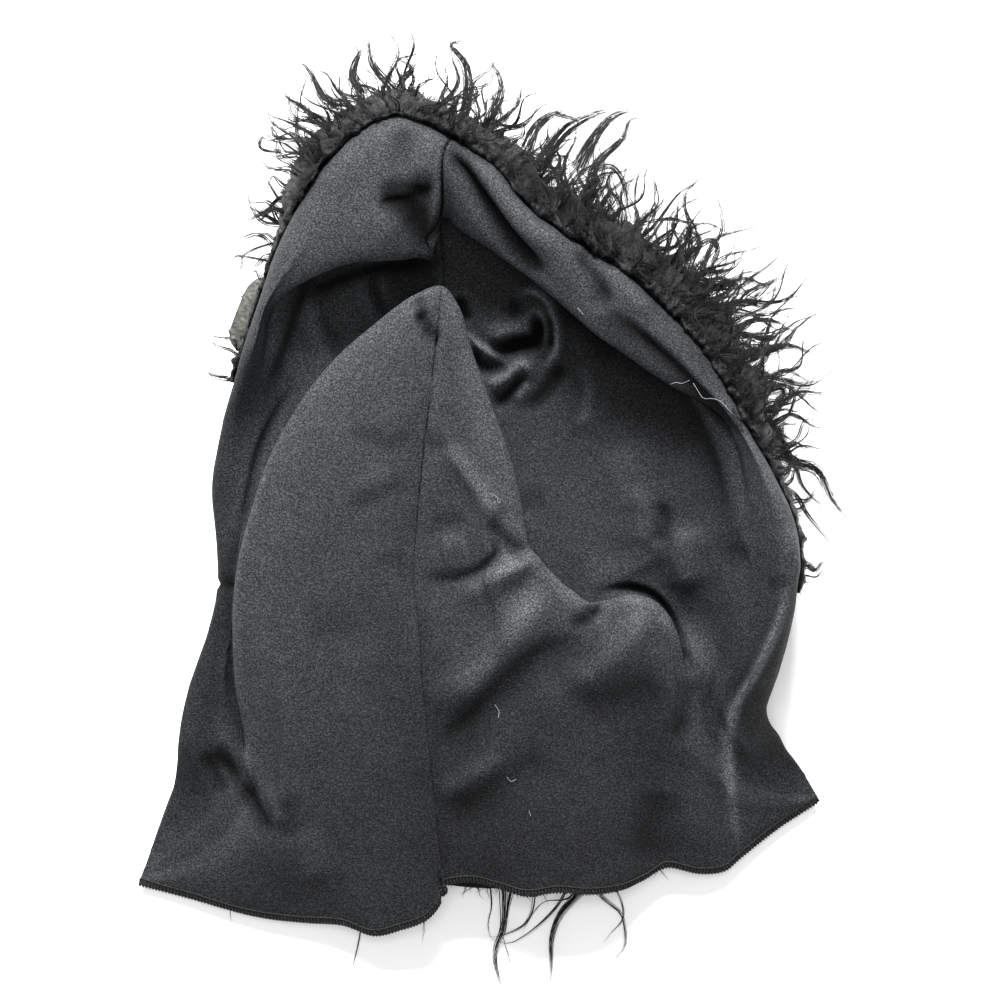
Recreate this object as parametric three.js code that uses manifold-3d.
// A full-head gorilla mask, lying face down: a moulded rubber face, a curly fur ruff round it, a fur
// bib under the chin, and the back of the head, a hood of black knit cloth. The hood is one sheet; its
// left half laps over its right half down the lower part of the centre seam.
// The cloth has slumped into the hollow face, so it lies in three folds: a brim that hangs over the
// rim, a sunk bowl behind it, and a long flap that comes out of the bowl and runs down to the hem.
// Millimetres. +Z is up, +Y is towards the crown and +X is to the right, seen from above.
import * as THREE from "three";
import { mergeVertices } from "three/addons/utils/BufferGeometryUtils.js";
import { ConvexGeometry } from "three/addons/geometries/ConvexGeometry.js";
import Module from "manifold-3d";

// Driving dimensions
const CLOTH = 2; // the doubled knit of the hood
const RUBBER = 3; // wall of the moulded face
const CLEAR = 0.5; // what touches when sewn keeps this gap
const LIP_ROLL = 5; // half the height of a rolled fold edge
const FOOT_INSET = 3.5; // the hood's side wall is sewn down this far inside its outline
const BACKING = 6; // the bib, its squashed pile included
const TILT = 10 * Math.PI / 180; // the face leans to the left by this
const MIDDLE = [-16, 50]; // a point between the eyes and the nose, seen from above
const SHORT_LOCKS = 20; // locks of fur round the ruff, beside the ten tall ones
const HOOD_ROWS = 32; // steps of the hood's sheet from its hem to its foot
const HOOD_GAP = 2.4; // the ruff stands this far outside the hood's outline
const FULL_PILE = 14; // where the ruff is wider than this, its pile is as high as the hood's side
const EYE = { x: 36, y: 21, rx: 13, ry: 7.5 }; // holes through the face, in the face's own frame
const NOSTRIL = { x: 13, y: -16, rx: 6, ry: 4.5 };

const SEAM = 6.3; // the station of the centre seam
const APEX_X = -42; // the tip of the flap, which lies on it
const LAST = 14; // stations run from 0, the left hem corner, to 14, the right one

// A smooth track through rows of [station, values...]: gives the values at any station.
function track(rows) {
  const slope = (i, k) => {
    const a = rows[Math.max(i - 1, 0)];
    const b = rows[Math.min(i + 1, rows.length - 1)];
    return (b[k] - a[k]) / (b[0] - a[0]);
  };
  return (s) => {
    let i = 0;
    while (i < rows.length - 2 && s > rows[i + 1][0]) i++;
    const [p, q] = [rows[i], rows[i + 1]];
    const h = q[0] - p[0];
    const t = THREE.MathUtils.clamp((s - p[0]) / h, 0, 1);
    return p.slice(1).map((v, j) => {
      const k = j + 1;
      const [m, n] = [slope(i, k) * h, slope(i + 1, k) * h];
      return (2 * t ** 3 - 3 * t ** 2 + 1) * v + (t ** 3 - 2 * t ** 2 + t) * m +
        (3 * t ** 2 - 2 * t ** 3) * q[k] + (t ** 3 - t ** 2) * n;
    });
  };
}

// The hood's outlines, each by station and seen from above. The outermost edge, over the crown.
const outline = track([
  [0, -188, -165], [1, -180, -136], [2, -176, -112], [2.5, -169, -85], [3, -159, -56],
  [3.5, -154, -26], [4, -157, 14], [4.5, -151, 49], [5, -139, 90], [5.4, -120, 142],
  [5.7, -97, 180], [6, -66, 200], [SEAM, -37, 190], [6.7, -15, 174], [7, 2, 153],
  [7.4, 22, 140], [7.8, 47, 124], [8.2, 70, 104], [8.5, 86, 86], [8.9, 101, 62],
  [9.3, 113, 40], [9.7, 124, 20], [10.1, 132, 2], [10.5, 136, -18], [11, 135, -42],
  [11.4, 131, -60], [11.8, 126, -78], [12.3, 121, -96], [13, 129, -111], [14, 139, -128],
]);
// The hem, along the bottom, and its height.
const hem = track([
  [0, -195.5, -185, 4], [0.6, -170, -191.5, 5], [1.3, -140, -200, 7], [2.3, -113, -204, 10],
  [3.2, -92, -205, 15], [4, -77, -210, 18], [5, -63, -207, 22], [5.7, -50, -202, 26],
  [6.15, -44, -194, 30], [SEAM, -44, -187, 32], [7, -28, -183, 32], [7.8, -11, -187, 33],
  [8.4, 1, -190, 35], [9, 15, -188, 36], [9.8, 32, -189, 33], [10.6, 48, -187, 27],
  [11.2, 60, -182, 18], [11.6, 71, -176, 15], [12, 87, -179, 12], [12.5, 100, -178, 9],
  [13, 109, -171, 8], [13.5, 129, -155, 5], [14, 148, -143, 4],
]);
// Half way up the cape and the flap.
const middle = track([
  [0, -195, -181, 4], [1, -157, -176, 14], [2, -130, -163, 26], [2.5, -122, -152, 32],
  [3, -112, -139, 38], [3.5, -104, -123, 44], [4, -97, -105, 50], [5, -86, -75, 60],
  [5.7, -71, -55, 63], [SEAM, -59, -41, 62],
  [7, -42, -55, 58], [7.8, -16, -80, 52], [8.5, -1, -100, 47], [9.3, 21, -112, 46],
  [10.1, 42, -110, 46], [11, 62, -113, 42], [12, 84, -130, 30], [13, 106, -143, 16],
  [14, 147, -140, 4],
]);
// The edge of the flap, where it folds under: up its left side, over its tip, down to the right.
const flapEdge = track([
  [0, -192, -177, 4], [0.8, -166, -158, 14], [1.6, -142, -138, 24], [2, -139, -121, 33],
  [2.5, -144, -89, 47], [3, -146, -61, 58], [3.5, -143, -26, 66], [4, -135, 5, 72],
  [4.5, -125, 32, 77], [5, -110, 60, 82], [5.4, -93, 80, 85], [5.7, -73, 97, 88],
  [6, -56, 110, 91], [SEAM, -42, 115, 92], [6.6, -34, 105, 91], [7, -26, 79, 88],
  [7.4, -14, 46, 84], [7.8, -6, 21, 80], [8.2, -1, -8, 74], [8.5, 3, -21, 70],
  [8.9, 12, -31, 66], [9.3, 26, -43, 62], [9.7, 39, -42, 65], [10.1, 53, -39, 68],
  [10.5, 65, -43, 68], [11, 74, -53, 65], [11.4, 80, -63, 60], [11.8, 84, -76, 52],
  [12.2, 84, -92, 44], [13, 104, -122, 24], [14, 145, -137, 4],
]);
// How much of a fold the flap's edge is, and how far the cloth runs back under it.
const flapFold = track([
  [0, 0, 0], [1.7, 0, 0], [2.1, 1, 2], [2.6, 1, 3], [3.5, 1, 6], [5, 1, 9], [5.7, 1, 8], [6, 1, 5],
  [6.6, 1, 4], [7, 1, 8], [7.4, 1, 12], [8.5, 1, 10], [10, 1, 9], [10.9, 1, 7], [11.7, 0, 0],
  [14, 0, 0],
]);
// The brim's edge, where it hangs over the bowl.
const brimEdge = track([
  [0, -191, -176, 4], [3.5, -147, -22, 74], [4.5, -145, 52, 84], [4.85, -140, 80, 88],
  [5, -134, 96, 92], [5.15, -127, 106, 94], [5.4, -112, 118, 96], [5.6, -91, 127, 95],
  [5.85, -73, 129, 91], [6.1, -56, 130, 87], [6.22, -45, 131, 84], [SEAM, -41, 149, 83],
  [6.42, -37, 147, 84], [6.6, -31, 143, 86], [6.9, -17, 134, 88], [7.2, -3, 124, 90],
  [7.5, 10, 115, 94], [7.8, 24, 102, 96],
  [8.1, 37, 90, 96], [8.4, 55, 77, 96], [8.7, 72, 67, 96], [8.95, 90, 56, 95],
  [9.3, 107, 40, 94], [9.7, 116, 22, 92], [10.1, 122, 4, 89], [10.5, 124, -16, 86],
  [11, 122, -36, 82], [14, 144, -136, 4],
]);
const brimFold = track([[0, 0], [4.8, 0], [5.25, 1], [9, 1], [10.3, 0], [14, 0]]);
// Heights of the bowl: just outside the flap's edge, half way, and out under the brim.
const bowl = track([
  [0, 4, 4, 4], [1.6, 22, 23, 21], [2, 26, 28, 27], [2.5, 36, 37, 34], [3, 47, 47, 42],
  [3.5, 56, 56, 51], [4, 60, 61, 60], [4.5, 61, 63, 66], [5, 57, 60, 61], [6, 50, 52, 56],
  [7, 49, 51, 56], [7.8, 47, 51, 58], [8.5, 47, 53, 62], [9.3, 47, 58, 72], [10.1, 48, 65, 80],
  [11, 46, 65, 80], [11.8, 44, 58, 66], [12.3, 40, 46, 50], [13, 24, 25, 26], [14, 4, 4, 4],
]);
// Heights of the crest along the hood's outer edge, and of the foot where its side wall is sewn down.
const crest = track([
  [0, 4, 3], [1, 18, 8], [2, 31, 15], [2.5, 37, 19], [3, 43, 24], [3.5, 51, 31], [4, 60, 39],
  [4.5, 72, 48], [4.75, 84, 54], [5, 97, 58], [6, 106, 64], [8, 104, 64], [9, 102, 63],
  [10, 98, 60], [11, 91, 52], [11.4, 82, 44], [11.8, 68, 34], [12.3, 46, 19], [13, 24, 9],
  [14, 4, 3],
]);

const lerp = THREE.MathUtils.lerp;
const bell = (x, width) => Math.exp(-((x / width) ** 2));

// The plan direction across a track at a station, from the crown side towards the hem side.
function inward(place, s) {
  const [a, b] = [place(Math.max(s - 0.15, 0)), place(Math.min(s + 0.15, LAST))];
  return new THREE.Vector2(b[1] - a[1], a[0] - b[0]).normalize();
}

// One strip of cloth at a station, from the hem to the foot of the side wall, as control points.
function strip(s) {
  const at = ([x, y, z]) => new THREE.Vector3(x, y, z);
  const [H, M, C, B] = [hem, middle, flapEdge, brimEdge].map((f) => at(f(s)));
  const [sx, sy] = outline(s);
  const [zCrest, zFoot] = crest(s);
  const [zNear, zHalf, zFar] = bowl(s);
  const [fold, under] = flapFold(s);
  const [hang] = brimFold(s);
  const S = new THREE.Vector3(sx, sy, lerp(zFoot, zCrest, 0.7));

  // The folds lean from their own normals towards the run of the strip.
  const plan = (p, q) => new THREE.Vector2(q.x - p.x, q.y - p.y);
  const roll = Math.min(LIP_ROLL, 0.22 * (C.z - zNear));
  const spread = Math.abs(C.x - APEX_X);
  const down = inward(flapEdge, s).multiplyScalar(Math.min(1, spread / 40))
    .addScaledVector(plan(C, M).normalize(), 0.8).normalize();
  const reach = Math.min(24, 6 + 0.5 * spread, 0.35 * plan(C, M).length());
  const side = inward(outline, s);
  const back = plan(B, S).normalize();
  const room = plan(C, S).length();
  const wide = plan(B, S).length();
  const off = (p, d, r, z) => new THREE.Vector3(p.x + d.x * r, p.y + d.y * r, z);
  const mix = (p, q, t, z) => new THREE.Vector3().lerpVectors(p, q, t).setZ(z);

  const near = off(C, down, -Math.min(8, 0.2 * room), zNear);
  const inner = off(S, side, Math.min(19, 0.55 * room), zFar);
  const halfWay = mix(near, inner, 0.36, lerp(zNear, zHalf, 0.7));
  const further = mix(near, inner, 0.72, lerp(zHalf, zFar, 0.5));
  const top = off(S, side, Math.min(12, 0.45 * wide + 2, 0.36 * room), zCrest);
  const foot = Math.min(FOOT_INSET, 0.12 * room);
  const before = mix(M, off(C, down, reach, C.z), 0.55, lerp(M.z, C.z, 0.55) + 2);
  const flap = [
    off(C, down, reach, C.z + 1), off(C, down, 0.38 * reach, C.z + 1),
    off(C, down, -1.5, C.z - 1), off(C, down, -1.5, C.z - roll - 1),
    off(C, down, 5, C.z - 2 * roll), off(C, down, under, lerp(zNear, C.z, 0.4)),
    off(C, down, under / 2, zNear - 1), near,
  ];
  const brim = [
    inner, off(S, side, 18, lerp(zFar, B.z, 0.72)),
    off(B, back, Math.min(6, 0.3 * wide), B.z - 2 * LIP_ROLL),
    off(B, back, -1.5, B.z - LIP_ROLL - 1), off(B, back, -1.5, B.z - 1),
    off(B, back, Math.min(9, 0.35 * wide), lerp(B.z, zCrest, 0.5) + 1),
  ];
  // Where a fold fades out, its points close up into an even run between their neighbours.
  const fading = (from, to, list, share) => list.map((p, i) =>
    new THREE.Vector3().lerpVectors(from, to, (i + 1) / (list.length + 1))
      .lerp(p, THREE.MathUtils.clamp(share, 0, 1)));
  const full = [
    H, mix(H, M, 0.5, lerp(H.z, M.z, 0.5) + 3 * bell(s - 9, 3)), M, before,
    ...fading(before, halfWay, flap, fold), halfWay, further,
    ...fading(further, top, brim, hang), top,
    off(S, side, 0.25 * top.distanceTo(S.clone().setZ(zCrest)), lerp(S.z, zCrest, 0.8)),
    off(S, side, -1.2, S.z),
    off(S, side, 0.4 * foot, lerp(zFoot, S.z, 0.45)), off(S, side, foot, zFoot),
  ];
  // Towards the corners of the hem the cloth flattens out: an even run from the hem to the outline.
  const body = Math.min(1, (zCrest - zFoot) / 18);
  const flat = new THREE.QuadraticBezierCurve3(H, mix(M, C, 0.5, lerp(M.z, C.z, 0.5)), S);
  return full.map((p, i) => flat.getPoint(i / (full.length - 1)).lerp(p, body));
}

// A clamped cubic B-spline through the control points' cage, at t from 0 to 1.
function spline(points, t) {
  const cage = [points[0], points[0], ...points, points.at(-1), points.at(-1)];
  const x = t * (cage.length - 3);
  const i = Math.min(Math.floor(x), cage.length - 4);
  const u = x - i;
  const w = [
    (1 - u) ** 3, 3 * u ** 3 - 6 * u ** 2 + 4, -3 * u ** 3 + 3 * u ** 2 + 3 * u + 1, u ** 3,
  ];
  const p = new THREE.Vector3();
  w.forEach((share, k) => p.addScaledVector(cage[i + k], share / 6));
  return p;
}

// A grid of points as one closed sheet of cloth or rubber: the grid is its outer face, and the inner
// face lies a thickness behind it. With room, it is that much fatter all round.
function sheet(grid, thickness, room = 0, closed = false) {
  const [n, m] = [grid.length, grid[0].length];
  const clamp = THREE.MathUtils.clamp;
  const get = (i, j) => grid[closed ? (i + n) % n : clamp(i, 0, n - 1)][clamp(j, 0, m - 1)];
  const normal = (i, j) => {
    const u = get(i + 1, j).clone().sub(get(i - 1, j));
    const v = get(i, j + 1).clone().sub(get(i, j - 1));
    return u.cross(v).normalize();
  };
  const outer = [];
  const inner = [];
  for (let i = 0; i < n; i++) {
    for (let j = 0; j < m; j++) {
      const p = get(i, j).clone();
      if (j === 0 || j === m - 1) {
        const along = p.clone().sub(get(i, j ? m - 2 : 1)).normalize();
        p.addScaledVector(along, room);
      }
      const d = normal(i, j);
      outer.push(p.clone().addScaledVector(d, room));
      inner.push(p.clone().addScaledVector(d, -thickness - room));
    }
  }
  const at = (i, j) => (closed ? i % n : i) * m + j;
  const back = n * m;
  const index = [];
  const face = (a, b, c, d) => index.push(a, b, c, a, c, d);
  const columns = closed ? n : n - 1;
  for (let i = 0; i < columns; i++) {
    for (let j = 0; j < m - 1; j++) {
      face(at(i, j), at(i + 1, j), at(i + 1, j + 1), at(i, j + 1));
      face(back + at(i, j), back + at(i, j + 1), back + at(i + 1, j + 1), back + at(i + 1, j));
    }
    face(at(i, 0), back + at(i, 0), back + at(i + 1, 0), at(i + 1, 0));
    face(at(i, m - 1), at(i + 1, m - 1), back + at(i + 1, m - 1), back + at(i, m - 1));
  }
  if (!closed) {
    for (let j = 0; j < m - 1; j++) {
      face(at(0, j), at(0, j + 1), back + at(0, j + 1), back + at(0, j));
      face(at(n - 1, j), back + at(n - 1, j), back + at(n - 1, j + 1), at(n - 1, j + 1));
    }
  }
  return geometryOf([...outer, ...inner], index);
}

function geometryOf(points, index) {
  const g = new THREE.BufferGeometry();
  g.setAttribute("position", new THREE.Float32BufferAttribute(points.flatMap((p) => p.toArray()), 3));
  g.setIndex(index);
  return g;
}

// manifold-3d solids from geometries and back.
const wasm = await Module();
wasm.setup();
function solidOf(geometry) {
  const bare = new THREE.BufferGeometry().setAttribute("position", geometry.getAttribute("position"));
  if (geometry.index) bare.setIndex(geometry.index);
  const g = mergeVertices(bare, 1e-4);
  return new wasm.Manifold(new wasm.Mesh({
    numProp: 3,
    vertProperties: new Float32Array(g.attributes.position.array),
    triVerts: new Uint32Array(g.index.array),
  }));
}
function geometryFrom(solid) {
  const mesh = solid.getMesh();
  const g = new THREE.BufferGeometry();
  g.setAttribute("position", new THREE.BufferAttribute(mesh.vertProperties, 3));
  g.setIndex(new THREE.BufferAttribute(mesh.triVerts, 1));
  return g;
}
const largest = (solid) => solid.decompose().reduce((a, b) => (a.volume() > b.volume() ? a : b));

// The hood is one sheet. Its left panel laps over the right one down the lower seam.
const LAP = { from: -25, full: -70, lift: 2.5, width: 0.35, half: 0.07 };
const STATIONS = [
  0, 0.6, 1.3, 2, 2.5, 3, 3.5, 4, 4.4, 4.8, 5.25, 5.5, 5.8, 6.05, SEAM - LAP.half, SEAM + LAP.half,
  6.55, 6.8, 7.1, 7.5, 7.9, 8.3, 8.6, 9, 9.4, 9.8, 10.3, 10.9, 11.3, 11.7, 12.1, 12.6, 13.3, 14,
];
const hoodGrid = STATIONS.map((s) => {
  const points = strip(s);
  return Array.from({ length: HOOD_ROWS + 1 }, (_, j) => {
    const p = spline(points, j / HOOD_ROWS);
    const low = THREE.MathUtils.smoothstep(-p.y, -LAP.from, -LAP.full);
    p.z += Math.sign(SEAM - s) * LAP.lift * bell(s - SEAM, LAP.width) * low;
    return p;
  });
});

// The moulded face. Its rim follows the hood's outline and closes under the chin; rows are x, y, z.
const rimInset = FOOT_INSET + CLOTH + 2 * CLEAR;
const rimStations = STATIONS.filter((s) => s >= 3 && s < 11 && Math.abs(s - SEAM) > 0.01);
const rimRise = track([[3, -6], [4.8, -7], [5.25, 4], [9, 4], [10.9, 0]]); // over the hood's foot
const rim = rimStations.map((s) => {
  const [x, y] = outline(s);
  const d = inward(outline, s).multiplyScalar(rimInset);
  return new THREE.Vector3(x + d.x, y + d.y, crest(s)[1] + rimRise(s)[0]);
});
const jaw = new THREE.CatmullRomCurve3([
  rim.at(-1), new THREE.Vector3(114, -84, 34), new THREE.Vector3(72, -108, 25),
  new THREE.Vector3(16, -121, 21), new THREE.Vector3(-42, -123, 21), new THREE.Vector3(-100, -108, 22),
  new THREE.Vector3(-140, -80, 20), rim[0],
]);
const RIM = [...rim, ...jaw.getSpacedPoints(10).slice(1, -1)];

// Height of the face's outer surface over the floor, by place in the face's own frame: x to the
// right and y to the crown, both from the nose.
const hill = (x, y, cx, cy, rx, ry, power = 2) =>
  Math.exp(-(Math.hypot((x - cx) / rx, (y - cy) / ry) ** power));
function faceHeight(x, y) {
  const ax = Math.abs(x);
  const brow = bell(y - 44 + 0.0022 * ax * ax, 15) * Math.exp(-((ax / 82) ** 6));
  const mouth = bell(y + 72 - 0.004 * ax * ax, 7) * Math.exp(-((ax / 50) ** 6));
  const { smoothstep } = THREE.MathUtils;
  const jowl = Math.max(smoothstep(-y, 0, 35) * smoothstep(ax, 70, 110), smoothstep(-y, 60, 100));
  const muzzle = 33 * hill(ax, y, 0, -56, 66, 46, 4);
  const forehead = 17 * hill(ax, y, 0, 92, 78, 46, 4) + 6 * bell(ax, 14) * hill(0, y, 0, 90, 1, 45);
  const nose = 25 * hill(ax, y, 0, -6, 34, 22, 3) + 16 * hill(ax, y, 0, 20, 14, 22);
  const cheek = 12 * hill(ax, y, 68, -8, 28, 34);
  const chin = (22 - 12 * jowl) * hill(ax, y, 0, -104, 46, 18, 3);
  return Math.max(36 - 16 * jowl - muzzle - 33 * brow - forehead - nose - cheek - chin + 7 * mouth, 0);
}
const local = (x, y) => {
  const [dx, dy] = [x - MIDDLE[0], y - MIDDLE[1]];
  return [dx * Math.cos(TILT) + dy * Math.sin(TILT), dy * Math.cos(TILT) - dx * Math.sin(TILT)];
};
const world = (x, y, z = 0) => new THREE.Vector3(
  MIDDLE[0] + x * Math.cos(TILT) - y * Math.sin(TILT),
  MIDDLE[1] + y * Math.cos(TILT) + x * Math.sin(TILT), z);
const NOSE = world(0, -34); // the foot of the nose, where the rings of the face close

// Rings of the face. The outer ones run in from the rim: how far in, as a share, and how much of the
// rim's height is left. The inner ones are ovals round the nose, by their half width.
const OUTER_RINGS = [[0, 1], [0.03, 0.68], [0.1, 0.4], [0.3, 0.14], [0.62, 0.03]];
const OVALS = [78, 67, 56, 45, 33, 17];
const OVAL_SHAPE = 1.22; // height over width
function shell(room = 0) {
  const grid = RIM.map((p) => {
    const ray = new THREE.Vector2(p.x - NOSE.x, p.y - NOSE.y);
    const angle = Math.atan2(ray.y / OVAL_SHAPE, ray.x);
    const oval = (r) => new THREE.Vector3(
      NOSE.x + r * Math.cos(angle), NOSE.y + r * OVAL_SHAPE * Math.sin(angle), 0);
    const start = oval(OVALS[0]);
    const outer = OUTER_RINGS.map(([inn, share]) =>
      [new THREE.Vector3().lerpVectors(p, start, inn), share]);
    return [...outer, ...OVALS.map((r) => [oval(r), 0])].map(([q, share]) =>
      q.setZ(lerp(faceHeight(...local(q.x, q.y)), p.z, share)));
  });
  return cap(sheet(grid, RUBBER, room, true), RIM.length, grid[0].length, NOSE, room);
}

// Closes a ring-shaped sheet over its middle, both its faces, in place of the sheet's inner edge.
function cap(geometry, n, m, middle, room) {
  const points = [];
  const at = geometry.getAttribute("position");
  for (let i = 0; i < at.count; i++) points.push(new THREE.Vector3().fromBufferAttribute(at, i));
  const last = (i, back) => (back ? n * m : 0) + (i % n) * m + m - 1;
  const index = [];
  const old = geometry.index.array;
  for (let t = 0; t < old.length; t += 3) {
    const edge = [0, 1, 2].filter((k) => old[t + k] % m === m - 1);
    const faces = new Set([0, 1, 2].map((k) => old[t + k] >= n * m));
    const bridge = faces.size === 2 && edge.length === 3;
    if (!bridge) index.push(old[t], old[t + 1], old[t + 2]);
  }
  const z = faceHeight(...local(middle.x, middle.y));
  const front = points.push(middle.clone().setZ(z - room)) - 1;
  const rear = points.push(middle.clone().setZ(z + RUBBER + room)) - 1;
  for (let i = 0; i < n; i++) {
    index.push(last(i, false), last(i + 1, false), front);
    index.push(last(i + 1, true), last(i, true), rear);
  }
  return geometryOf(points, index);
}

// A prism standing through the face, for an eye hole or a nostril.
function hole(side, { x, y, rx, ry }) {
  const shape = new THREE.Shape().absellipse(0, 0, rx, ry, 0, 2 * Math.PI);
  const g = new THREE.ExtrudeGeometry(shape, { depth: 60, bevelEnabled: false, curveSegments: 6 });
  const c = world(side * x, y, -5);
  return solidOf(g.rotateZ(TILT).translate(c.x, c.y, c.z));
}

// An ear: a thick leaf that stands out of the wall of the face, its edge rolled towards the floor.
function ear(s, length, out, z) {
  const d = inward(outline, s);
  const [x, y] = outline(s);
  const grid = [];
  for (let i = 0; i <= 8; i++) {
    const u = lerp(-1, 1, i / 8);
    const round = Math.max(Math.sqrt(Math.max(1 - u ** 4, 0)), 0.2);
    const reach = (rimInset + 2 + out * (1 + 0.12 * u)) * round;
    grid.push([0, 0.5, 1].map((v) => {
      const w = rimInset + 2 - reach * v;
      const along = u * length / 2 * (1 - 0.15 * v * u * u);
      const rolled = z - 4 * v * v - 5 * bell(v - 0.5, 0.3) * (u * u - 0.3);
      return new THREE.Vector3(x + d.x * w + d.y * along, y + d.y * w - d.x * along, rolled);
    }));
  }
  return sheet(grid, 5);
}

// The convex body round a geometry, a little larger all round.
function roomRound(geometry, room) {
  const at = geometry.getAttribute("position");
  const points = [];
  for (let i = 0; i < at.count; i++) {
    const p = new THREE.Vector3().fromBufferAttribute(at, i);
    for (const k of [0, 1, 2]) {
      for (const way of [-room, room]) points.push(p.clone().setComponent(k, p.getComponent(k) + way));
    }
  }
  return solidOf(new ConvexGeometry(points));
}

// Each ear's station, length, reach beyond the rim and height.
const EARS = [[5.1, 50, 10, 48], [8.75, 54, 14, 46]];
let face = solidOf(shell());
for (const place of EARS) face = face.add(solidOf(ear(...place)));
for (const side of [-1, 1]) {
  face = face.subtract(hole(side, EYE));
  face = face.subtract(hole(side, NOSTRIL));
}

// A closed tube through rings of points, its ends fanned shut.
function tube(rings) {
  const n = rings[0].length;
  const points = rings.flat();
  const index = [];
  for (let i = 0; i < rings.length - 1; i++) {
    for (let k = 0; k < n; k++) {
      const [a, b] = [i * n + k, i * n + (k + 1) % n];
      index.push(a, b, b + n, a, b + n, a + n);
    }
  }
  const end = (rings.length - 1) * n;
  for (let k = 1; k < n - 1; k++) {
    index.push(0, k + 1, k);
    index.push(end, end + k, end + k + 1);
  }
  const solid = solidOf(geometryOf(points, index));
  return solid.volume() > 0 ? solid : solidOf(geometryOf(points, index.reverse()));
}
// A repeatable number from 0 to 1 for each whole number.
const chance = (k) => {
  const x = Math.sin(k * 12.9898 + 4.1) * 43758.5453;
  return x - Math.floor(x);
};
// A tapering lock of fur from one place to another, swinging from side to side on the way.
function lock(from, to, thick, swing, waves, phase) {
  const rings = [];
  const steps = 6;
  const run = new THREE.Vector3().subVectors(to, from);
  const across = new THREE.Vector3(-run.y, run.x, 0).normalize();
  const path = (t) => new THREE.Vector3().lerpVectors(from, to, t)
    .addScaledVector(across, swing * t * Math.sin(2 * Math.PI * waves * t + phase))
    .setZ(lerp(from.z, to.z, t * (2 - t)));
  for (let i = 0; i <= steps; i++) {
    const t = i / steps;
    const ahead = path(t + 0.02).sub(path(t - 0.02)).normalize();
    const flat = new THREE.Vector3(-ahead.y, ahead.x, 0).normalize();
    const up = new THREE.Vector3().crossVectors(ahead, flat);
    const r = Math.max(thick * (1 - t) ** 0.8, 0.7);
    rings.push([0, 1, 2].map((k) => path(t)
      .addScaledVector(flat, r * Math.cos(k * 2 * Math.PI / 3))
      .addScaledVector(up, 0.8 * r * Math.sin(k * 2 * Math.PI / 3))));
  }
  return tube(rings);
}

// The fur ruff: a thick band round the outside of the face under the hood's foot, and its locks.
const pile = track([
  [4.75, 2], [5.05, 5], [5.25, 14], [5.6, 19], [6.1, 17], [6.5, 17], [7, 21], [7.8, 24], [8.5, 24],
  [9, 20], [9.4, 12], [9.8, 5], [10.5, 3], [11.2, 2],
]);
const ruffPoint = (s, outward, z) => {
  const [x, y] = outline(s);
  const d = inward(outline, s);
  return new THREE.Vector3(x - d.x * outward, y - d.y * outward, z);
};
const bandStations = STATIONS.filter((s) => s > 4.5 && s < 11);
const bandRings = bandStations.map((s, i) => {
  const [out] = pile(s);
  const [zCrest, foot] = crest(s);
  const full = Math.min(1, out / FULL_PILE);
  const brow = lerp(foot, zCrest, 0.62 * full);
  const lump = (k) => 1 + 0.3 * (chance(i * 7 + k) - 0.5);
  return [
    [-rimInset + CLEAR, foot - 4], [HOOD_GAP, foot - 1], [HOOD_GAP, brow],
    [Math.max(HOOD_GAP + 1, 0.6 * out * lump(1)), lerp(foot, brow, 0.8)],
    [out * lump(2), foot - 4], [1.05 * out * lump(3), foot - 24], [0.5 * out, 18 + 6 * chance(i)],
    [-rimInset + 1, foot - 20],
  ].map(([outward, z]) => ruffPoint(s, outward, z));
});
const tallLocks = [
  [5.75, -115, 231], [6, -80, 246], [6.3, -30, 246], [6.6, -18, 231], [7, 20, 206], [7.5, 57, 204],
  [7.9, 67, 169], [8.6, 107, 141], [9.1, 147, 84], [9.6, 164, -3],
].map(([s, x, y], k) => lock(
  ruffPoint(s, 0.6 * pile(s)[0], crest(s)[1] - 10), new THREE.Vector3(x, y, 14 + 20 * chance(k)),
  6, 6, 1.2, 6 * chance(k + 30)));
const shortLocks = Array.from({ length: SHORT_LOCKS }, (_, k) => {
  const s = lerp(5.15, 9.6, (k + 0.6 * chance(k)) / SHORT_LOCKS);
  const reach = pile(s)[0] + lerp(9, 24, chance(k + 50));
  const from = ruffPoint(s, 0.7 * pile(s)[0], crest(s)[1] - 6 - 26 * chance(k + 80));
  const lean = ruffPoint(s + 0.5 * (chance(k + 20) - 0.5), reach, lerp(10, 46, chance(k + 70)));
  return lock(from, lean, 8, 5, 1, 6 * chance(k + 40));
});

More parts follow.
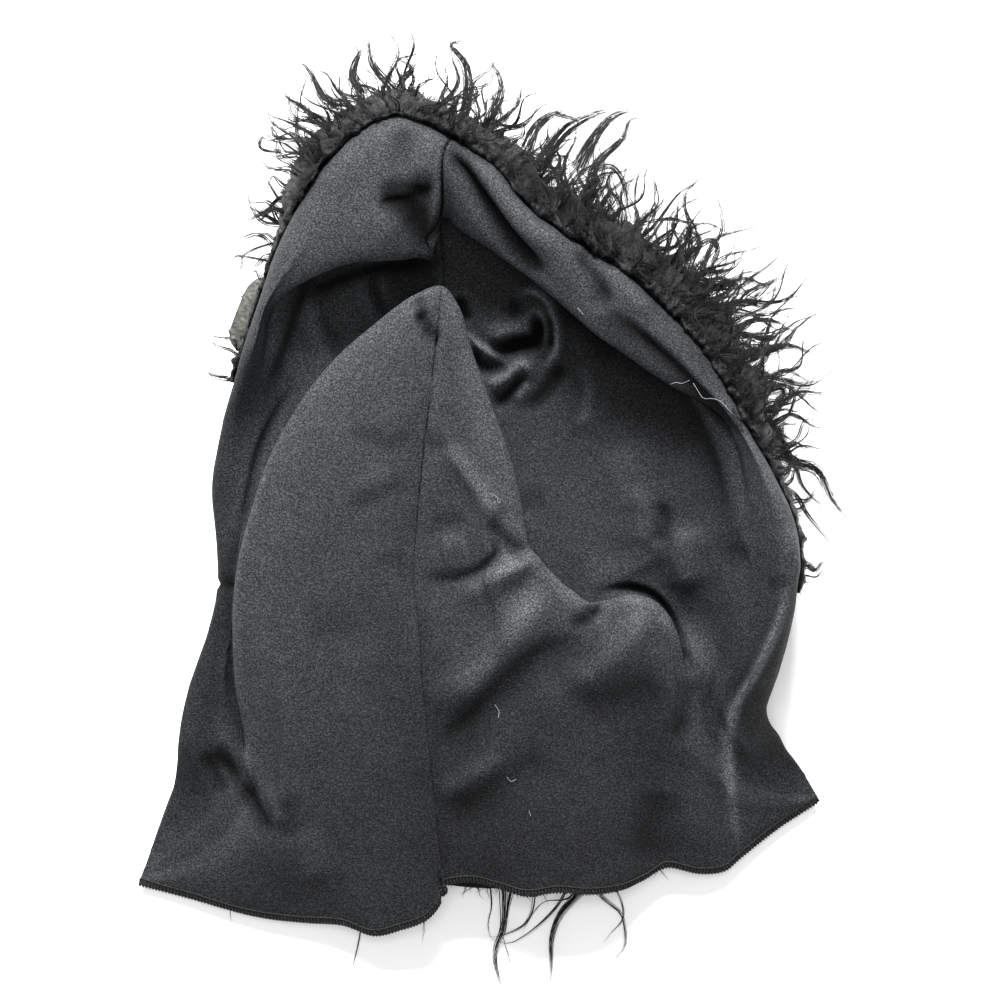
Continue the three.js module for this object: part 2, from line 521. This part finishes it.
// The bib: fur backing that hangs from the chin and lies along the floor, and the locks past the hem.
const bibGrid = Array.from({ length: 10 }, (_, i) => {
  const u = 1 - i / 9;
  const hang = [
    [0, 14], [0.12, 11], [0.3, 7], [0.5, BACKING], [0.75, BACKING], [1, BACKING],
  ];
  return hang.map(([v, z]) => {
    const top = new THREE.Vector2(lerp(-112, 96, u), -118 + 24 * (2 * u - 1) ** 2 + 6 * u);
    const wave = 3 * Math.sin(9 * u);
    const bottom = new THREE.Vector2(lerp(-140, 104, u), -184 + 14 * (2 * u - 1) ** 2 + wave);
    return new THREE.Vector3(lerp(top.x, bottom.x, v), lerp(top.y, bottom.y, v), z);
  });
});
const hemLocks = [
  [-4, -13, -238, 3.2, 5], [2, 3, -226, 3, 6], [-10, 1, -243, 2.6, 6], [14, 13, -242, 2.2, 4],
  [37, 50, -224, 3, 4], [46, 42, -220, 2.6, 5], [-82, -90, -241, 1.8, 4], [-60, -60, -217, 1.8, 2],
  [-130, -147, -207, 1.8, 2],
].map(([x, tipX, tipY, thick, swing], k) => lock(
  new THREE.Vector3(x, -166, 4), new THREE.Vector3(tipX, tipY, 3), thick, swing, 1.1, 6 * chance(k + 90)));

const hood = solidOf(sheet(hoodGrid, CLOTH));
const faceRoom = wasm.Manifold.union([
  solidOf(shell(2 * CLEAR)), ...EARS.map((place) => roomRound(ear(...place), 2 * CLEAR)),
]);
const fur = wasm.Manifold.union([tube(bandRings), ...tallLocks, ...shortLocks]);
const ruff = largest(fur.subtract(faceRoom));
const bib = wasm.Manifold.union([solidOf(sheet(bibGrid, BACKING)), ...hemLocks]);

// Every piece is moved so that the mask stands on the floor with the middle of its box at the origin.
const pieces = [
  ["hood", hood, { color: 0x0f1113, roughness: 0.9, metalness: 0 }],
  ["face_shell", largest(face), { color: 0x2b2d2c, roughness: 0.55, metalness: 0 }],
  ["fur_ruff", ruff, { color: 0x0b0b0b, roughness: 0.8, metalness: 0 }],
  ["fur_bib", largest(bib), { color: 0x0b0b0b, roughness: 0.8, metalness: 0 }],
];
const boxes = pieces.map(([, solid]) => solid.boundingBox());
const low = [0, 1, 2].map((k) => Math.min(...boxes.map((b) => b.min[k])));
const high = [0, 1, 2].map((k) => Math.max(...boxes.map((b) => b.max[k])));
const shift = [-(low[0] + high[0]) / 2, -(low[1] + high[1]) / 2, -low[2]];

const mask = new THREE.Group();
for (const [name, solid, look] of pieces) {
  const geometry = geometryFrom(solid.translate(shift));
  const mesh = new THREE.Mesh(geometry, new THREE.MeshStandardMaterial(look));
  mesh.name = name;
  mask.add(mesh);
}
export default mask;
